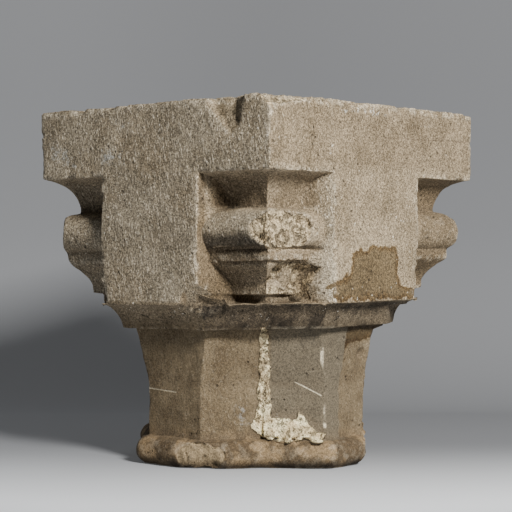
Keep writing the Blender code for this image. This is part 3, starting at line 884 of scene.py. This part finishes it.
BLOCK_LIGHT = (0.360, 0.288, 0.192)
BLOCK_DARK = (0.225, 0.176, 0.112)
GREY_BLOOM = (1.00, 1.06, 1.15)
NECK_LIGHT = (0.198, 0.152, 0.092)
NECK_DARK = (0.106, 0.077, 0.044)
ROLL_OCHRE = (0.275, 0.193, 0.106)
ROLL_DARK = (0.100, 0.070, 0.040)
STROKE_PALE = (0.66, 0.58, 0.45)
BREAK_PALE = (0.56, 0.455, 0.29)
# Painted shade in the pits of fresh breaks
BREAK_PIT_SHADE = (0.165, 0.125, 0.078)
FOOT_BREAK = (0.36, 0.275, 0.165)
CHIP_BROWN = (0.185, 0.140, 0.080)
STAIN_TINT = (0.47, 0.43, 0.35)
STAIN_RIM = (0.60, 0.47, 0.29)
# Painted shade, with some dirt, for the mouldings' recesses
SHADE_AND_DIRT_TINT = (0.55, 0.51, 0.46)
# Painted shadow under the overhangs
SHADOW_TINT = (0.12, 0.12, 0.13)
SLANT_GREY = (0.150, 0.130, 0.095)
RUBBED_PALE = (0.70, 0.62, 0.48)
# Painted shade in creases and concave places
CREASE_SHADE = (0.15, 0.115, 0.075)
MORTAR_PALE = (0.98, 0.86, 0.54)
MORTAR_TAN = (0.55, 0.42, 0.24)
MORTAR_SHADE = (0.30, 0.23, 0.14)
LIME_WHITE = (0.80, 0.78, 0.70)
LIME_GREY = (0.66, 0.70, 0.70)
# Painted contact shadow where the stone meets the floor
CONTACT_SHADOW = (0.22, 0.21, 0.20)
CUT_DARK = (0.12, 0.09, 0.06)
MARK_CREAM = (0.80, 0.71, 0.52)
BUMP_HEIGHT = 0.0011

# The grain, the tool's strokes, and open pores
f = Finish("limestone")
grain = f.noise(0.0017, detail=4.0, roughness=0.8)
speck = f.noise(0.0009, detail=2.0, roughness=0.8)
cloud = f.noise(0.034, detail=4.0, roughness=0.6)
patch = f.noise(0.012, roughness=0.6)
bloom = f.mask("bloom")
stroke = f.noise(1.0, detail=2.5, roughness=0.6, place=f.stretched(560.0, 560.0, 105.0, lean=0.22))
strokes = f.times(f.rise(stroke, 0.50, 0.66), f.rise(bloom, 0.0, 1.0, 0.18, 1.0))
pores = f.rise(f.cells(0.0062), 0.10, 0.24, 1.0, 0.0)
pores = f.times(pores, f.rise(f.noise(0.02, detail=2.0), 0.50, 0.62))

# The stone's own colours: the block, the neck, and the ochre roll
neck = f.rise(f.frayed(f.height(), patch, 0.012), 0.136, 0.118)
foot = f.rise(f.frayed(f.height(), patch, 0.016), 0.036, 0.022)
block_colour = f.mix(f.rise(cloud, 0.30, 0.70), BLOCK_DARK, BLOCK_LIGHT)
neck_colour = f.mix(f.rise(cloud, 0.30, 0.70), NECK_DARK, NECK_LIGHT)
bloomed = f.times(bloom, f.rise(f.noise(0.05), 0.35, 0.62, 0.4, 1.3))
block_colour = f.tint(bloomed, block_colour, GREY_BLOOM)
colour = f.mix(neck, block_colour, neck_colour)
stroke_light = f.times(strokes, f.rise(neck, 0.0, 1.0, 0.55, 0.35))
fleck = f.rise(f.noise(0.0016, roughness=0.8), 0.58, 0.68)
stroke_light = f.most(stroke_light, f.times(fleck, f.rise(neck, 0.0, 1.0, 0.42, 0.20)))
colour = f.mix(stroke_light, colour, STROKE_PALE)
ochre = f.mix(f.rise(f.noise(0.022, detail=4.0), 0.44, 0.56), ROLL_DARK, ROLL_OCHRE)
colour = f.mix(f.times(foot, 0.9), colour, ochre)

# The chip and the breaks
broken = f.rise(f.frayed(f.mask("broken"), patch, 0.9), 0.45, 0.70)
chipped = f.rise(f.mask("chip"), 0.3, 0.7, 0.0, 0.75)
colour = f.mix(chipped, colour, f.mix(f.rise(patch, 0.40, 0.60), CHIP_BROWN, BLOCK_LIGHT))
# The fresh breaks darkened in their pits: painted shade
cavity = f.rise(f.noise(0.0052, detail=4.0, roughness=0.65), 0.48, 0.60)
break_colour = f.mix(f.times(cavity, 0.8), BREAK_PALE, BREAK_PIT_SHADE)
colour = f.mix(f.times(broken, 0.85), colour, f.mix(neck, break_colour, FOOT_BREAK))

# The tide marks, darker along their edges
stain_edge = f.frayed(f.mask("stain"), f.noise(0.009, detail=4.0), 0.9)
stained = f.rise(stain_edge, 0.46, 0.56)
rim = f.times(stained, f.rise(stain_edge, 0.52, 0.86, 1.0, 0.0))
colour = f.tint(stained, colour, STAIN_TINT)
colour = f.tint(f.times(rim, 0.75), colour, STAIN_RIM)

# Painted shade with some dirt in the recesses, painted shadow under the overhangs, rubbed arrises, and
# painted shade in the hollows
colour = f.tint(f.mask("shade_and_dirt"), colour, SHADE_AND_DIRT_TINT)
# Painted shadow under the block, under the front roll and in the quirk
shadowed = f.times(f.mask("painted_shadow"), f.rise(patch, 0.28, 0.62, 1.10, 0.78), clamp=True)
colour = f.tint(shadowed, colour, SHADOW_TINT)
colour = f.mix(f.times(f.mask("right_slant"), 0.7), colour, SLANT_GREY)
rubbed = f.times(f.mask("ridge"), f.rise(f.noise(0.006), 0.42, 0.62))
rubbed = f.times(rubbed, f.rise(neck, 0.0, 1.0, 0.45, 0.32))
rubbed = f.times(rubbed, f.rise(broken, 0.0, 1.0, 1.0, 0.35))
rubbed = f.times(rubbed, f.rise(f.mask("painted_shadow"), 0.0, 0.5, 1.0, 0.2))
colour = f.mix(rubbed, colour, RUBBED_PALE)
# Painted shade in creases and concave places, patchy
crease_shade = f.times(f.mask("hollow"), f.rise(patch, 0.30, 0.62, 0.35, 0.85))
colour = f.mix(f.times(crease_shade, 0.8), colour, CREASE_SHADE)

# The mortar, with darker grains, most on the strip above the wedge
mortar_edge = f.frayed(f.mask("mortar"), f.noise(0.005), 1.1)
mortared = f.rise(mortar_edge, 0.40, 0.62)
grit_pit = f.rise(f.noise(0.0036, roughness=0.7), 0.34, 0.50, 0.30, 1.0)
tan = f.rise(f.noise(0.009, detail=4.0), 0.42, 0.60, 0.0, 0.8)
mortar_colour = f.mix(tan, MORTAR_PALE, MORTAR_TAN)
on_strip = f.rise(f.height(), 0.046, 0.056)
shade = f.plus(f.noise(0.0024, roughness=0.8), on_strip, 0.12)
mortar_colour = f.mix(f.rise(shade, 0.56, 0.64, 0.0, 0.9), mortar_colour, MORTAR_SHADE)
colour = f.mix(mortared, colour, f.shaded(mortar_colour, grit_pit))

# Limewash, white flecks, and a painted contact shadow along the foot
lime_noise = f.noise(0.0042, detail=4.0, roughness=0.65)
limed = f.rise(f.frayed(f.mask("lime"), lime_noise, 2.2), 0.80, 1.05)
limed_left = f.rise(f.frayed(f.mask("left_lime"), lime_noise, 1.9), 0.68, 1.15)
colour = f.mix(f.times(limed, 0.65), colour, LIME_WHITE)
colour = f.mix(f.times(limed_left, f.rise(neck, 0.0, 1.0, 0.46, 0.28)), colour, LIME_GREY)
flecks = f.rise(f.noise(0.0034, detail=1.5, roughness=0.5), 0.685, 0.73)
flecks = f.times(flecks, f.rise(f.noise(0.040, detail=2.0), 0.46, 0.60))
flecks = f.times(flecks, f.rise(f.mask("shade_and_dirt"), 0.0, 0.5, 1.0, 0.1))
colour = f.mix(f.times(flecks, f.rise(neck, 0.0, 0.5, 0.45, 0.05)), colour, LIME_WHITE)
# Painted contact shadow: darker towards the floor, less so at the very bottom
low = f.rise(f.height(), 0.0105, 0.0020)
low = f.times(low, f.rise(f.height(), 0.0005, 0.0016, 0.2, 1.0))
colour = f.tint(low, colour, CONTACT_SHADOW)


def on_right_slant(across, height):
    """A place on the slanting side to the right of its fold."""
    share = across / ((NECK_END - NECK_SIDE) * np.sqrt(0.5))
    outward = (NECK_END + NECK_SIDE) * np.sqrt(0.5) - NECK_FOOT_FOLD * (1 - share)
    return ((outward + across) * np.sqrt(0.5), (across - outward) * np.sqrt(0.5), height)


# Cracks and pale scratches
wobble = f.rise(f.noise(0.006), 0.28, 0.48)
bed_cracks = f.most(
    f.line((HALF, 0.010, 0.2842), (HALF, 0.125, 0.2866), 0.0009),
    f.line((HALF, 0.062, 0.2880), (HALF, 0.132, 0.2868), 0.0007),
)
roll_crack = f.line((0.0260, -0.1190, 0.0235), (0.0600, -0.1110, 0.0175), 0.0034)
cracks = f.times(f.most(bed_cracks, roll_crack), wobble)
colour = f.mix(f.times(cracks, 0.6), colour, CUT_DARK)
slant_scratch = f.line(on_right_slant(0.0190, 0.0785), on_right_slant(0.0500, 0.0625), 0.0009)
left_scratch = f.line((-0.034, -NECK_END, 0.066), (0.002, -NECK_END, 0.064), 0.0010)
arris_line = f.line((0.109, -0.0385, 0.104), (NECK_END, -NECK_SIDE, 0.036), 0.0021)
arris_line = f.times(arris_line, wobble)
arris_line = f.times(arris_line, f.rise(f.noise(0.0045), 0.42, 0.50, 0.15, 1.0))
marks = f.most(slant_scratch, f.most(arris_line, f.times(left_scratch, 0.6)))
colour = f.mix(f.times(marks, 0.75), colour, MARK_CREAM)

fine = f.times(f.rise(grain, 0.36, 0.64, 0.42, 1.55), f.rise(speck, 0.38, 0.62, 0.55, 1.42))
fine = f.math("POWER", fine, f.rise(neck, 0.0, 1.0, 1.0, 0.55))
fine = f.times(fine, f.rise(pores, 0.0, 1.0, 1.0, 0.45))
f.put(f.shader, "Base Color", f.shaded(colour, fine))
f.put(f.shader, "Roughness", f.rise(stained, 0.0, 1.0, 0.92, 0.70))
f.put(f.shader, "Specular IOR Level", 0.25)

relief = f.plus(f.times(grain, 0.45), speck, 0.20)
relief = f.plus(relief, strokes, f.rise(neck, 0.0, 1.0, 0.30, 0.10))
relief = f.plus(relief, pores, -0.9)
relief = f.plus(relief, f.times(broken, cavity), f.rise(neck, 0.0, 1.0, -1.6, -0.4))
relief = f.plus(relief, f.times(mortared, grit_pit), 1.6)
relief = f.plus(relief, marks, -0.4)
bump = f.tree.nodes.new("ShaderNodeBump")
f.put(bump, "Strength", 1.0)
f.put(bump, "Distance", BUMP_HEIGHT)
f.put(bump, "Height", relief)
f.put(f.shader, "Normal", bump.outputs[0])

capital.data.materials.append(f.material)
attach(capital, "root")
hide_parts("capital")


# The floor and the sheet behind it
# One sheet of board: pale where the stone stands, and curved up close behind it, where it turns grey. Its
# back lets light through, so that it hides nothing when the stone is seen from behind.

CAMERA_TURN = np.radians(42.29)
SHEET_FRONT = 1.8
CURVE_START = 0.36
CURVE_RADIUS = 0.22
SHEET_TOP = 1.1
SHEET_HALF_WIDTH = 2.4
PALE_REACH = 0.30
DARK_REACH = 0.55
FLOOR_PALE = (0.84, 0.88, 0.94)
# Painted fall-off of the light: the floor darker far in front and to the sides
FAR_FLOOR_SHADE = (0.10, 0.10, 0.105)
# The wall's grey, with painted light: lighter low down and towards the left
WALL_HIGH = (0.163, 0.170, 0.184)
WALL_LOW = (0.200, 0.208, 0.224)
WALL_LEFT_LIGHT = (1.32, 1.32, 1.32)
# A faint painted glow over the whole board, standing in for fill light
FILL_GLOW = (0.97, 0.98, 1.0, 1.0)
GLOW_STRENGTH = 0.055


def sheet_points(curve_count=32):
    """A profile carried sideways: level, then a quarter round, then upright, turned to face the camera."""
    angle = np.linspace(0, np.pi / 2, curve_count)
    wall = CURVE_START + CURVE_RADIUS
    away = np.concatenate([[-SHEET_FRONT], CURVE_START + CURVE_RADIUS * np.sin(angle), [wall]])
    rise = np.concatenate([[0.0], CURVE_RADIUS * (1 - np.cos(angle)), [SHEET_TOP]])
    away, side = np.meshgrid(away, (-SHEET_HALF_WIDTH, SHEET_HALF_WIDTH), indexing="ij")
    x = side * np.cos(CAMERA_TURN) - away * np.sin(CAMERA_TURN)
    y = side * np.sin(CAMERA_TURN) + away * np.cos(CAMERA_TURN)
    return np.stack([x, y, np.repeat(rise[:, None], 2, axis=1)], axis=2)


sheet = sheet_points()
number = np.arange(sheet[..., 0].size).reshape(sheet.shape[:2])
corners = [number[:-1, :-1], number[:-1, 1:], number[1:, 1:], number[1:, :-1]]
sheet_mesh = bpy.data.meshes.new("backdrop")
faces = np.stack(corners, axis=2).reshape(-1, 4)
sheet_mesh.from_pydata(sheet.reshape(-1, 3).tolist(), [], faces.tolist())
sheet_mesh.shade_smooth()
backdrop = bpy.data.objects.new("backdrop", sheet_mesh)
bpy.context.scene.collection.objects.link(backdrop)

board = Finish("grey_board")
backwards = (-np.sin(CAMERA_TURN), np.cos(CAMERA_TURN), 0.0)
rightwards = (np.cos(CAMERA_TURN), np.sin(CAMERA_TURN), 0.0)
away = board.vector("DOT_PRODUCT", board.place, backwards).outputs["Value"]
aside = board.vector("DOT_PRODUCT", board.place, rightwards).outputs["Value"]
from_middle = board.vector("LENGTH", board.stretched(1.0, 1.0, 0.0)).outputs["Value"]
# The wall painted lighter low down and towards the left: painted light
wall = board.mix(board.rise(board.height(), 0.42, 0.06), WALL_HIGH, WALL_LOW)
wall = board.tint(board.rise(aside, 0.05, -0.35), wall, WALL_LEFT_LIGHT)
colour = board.mix(board.rise(away, -0.34, 0.10), FLOOR_PALE, wall)
# The floor painted darker far in front and to the sides, as the light falls off
far_front = board.times(board.rise(from_middle, PALE_REACH, DARK_REACH), board.rise(away, -0.20, -0.40))
colour = board.mix(far_front, colour, FAR_FLOOR_SHADE)
board.put(board.shader, "Base Color", colour)
# The board glows faintly: a painted fill that lifts the shadows on it and on the stone
board.put(board.shader, "Emission Color", FILL_GLOW)
board.put(board.shader, "Emission Strength", GLOW_STRENGTH)
board.put(board.shader, "Roughness", 0.8)
board.put(board.shader, "Specular IOR Level", 0.1)
clear = board.tree.nodes.new("ShaderNodeBsdfTransparent")
seen_side = board.tree.nodes.new("ShaderNodeNewGeometry")
either = board.tree.nodes.new("ShaderNodeMixShader")
board.put(either, 0, seen_side.outputs["Backfacing"])
board.put(either, 1, board.shader.outputs[0])
board.put(either, 2, clear.outputs[0])
board.put(board.tree.nodes["Material Output"], "Surface", either.outputs[0])
sheet_mesh.materials.append(board.material)


# The light
# One soft box to the right of the camera, a little higher than the stone, a weak one over the back, and a
# faint fill from all round.

def soft_box(name, turn, height, distance, size, power, tint=(1.0, 1.0, 1.0)):
    """A square light that faces the stone. Turn is counted from the camera's direction to the right."""
    turned = CAMERA_TURN + np.radians(turn)
    raised = np.radians(height)
    level = np.cos(raised)
    direction = Vector((np.sin(turned) * level, -np.cos(turned) * level, np.sin(raised)))
    light = bpy.data.lights.new(name, "AREA")
    light.shape = "SQUARE"
    light.size = size
    light.energy = power
    light.color = tint
    lamp = bpy.data.objects.new(name, light)
    lamp.location = direction * distance + Vector((0, 0, BLOCK_TOP / 2))
    lamp.rotation_mode = "QUATERNION"
    lamp.rotation_quaternion = direction.to_track_quat("Z", "Y")
    bpy.context.scene.collection.objects.link(lamp)


soft_box("key_light", turn=28, height=28, distance=1.9, size=0.38, power=66, tint=(1.0, 0.97, 0.92))
soft_box("back_light", turn=190, height=55, distance=1.6, size=0.6, power=5)

FILL_COLOUR = (0.84, 0.92, 1.0, 1.0)
FILL_STRENGTH = 0.04
world = bpy.data.worlds.new("room")
world.use_nodes = True
fill = world.node_tree.nodes["Background"]
fill.inputs["Color"].default_value = FILL_COLOUR
fill.inputs["Strength"].default_value = FILL_STRENGTH
bpy.context.scene.world = world


# The camera
# It looks level, from a little above the middle of the stone and well back from it, through a long lens.
# Two faces of the block show.

CAMERA_AWAY = 1.427
CAMERA_HEIGHT = 0.1821
LENS = 109.1
SENSOR_WIDTH = 36.0
LENS_SHIFT = -0.003125
camera_data = bpy.data.cameras.new("camera")
camera_data.lens = LENS
camera_data.sensor_width = SENSOR_WIDTH
camera_data.shift_x = LENS_SHIFT
camera = bpy.data.objects.new("camera", camera_data)
camera.location = (np.sin(CAMERA_TURN) * CAMERA_AWAY, -np.cos(CAMERA_TURN) * CAMERA_AWAY, CAMERA_HEIGHT)
camera.rotation_euler = (np.pi / 2, 0.0, CAMERA_TURN)
bpy.context.scene.collection.objects.link(camera)
bpy.context.scene.camera = camera
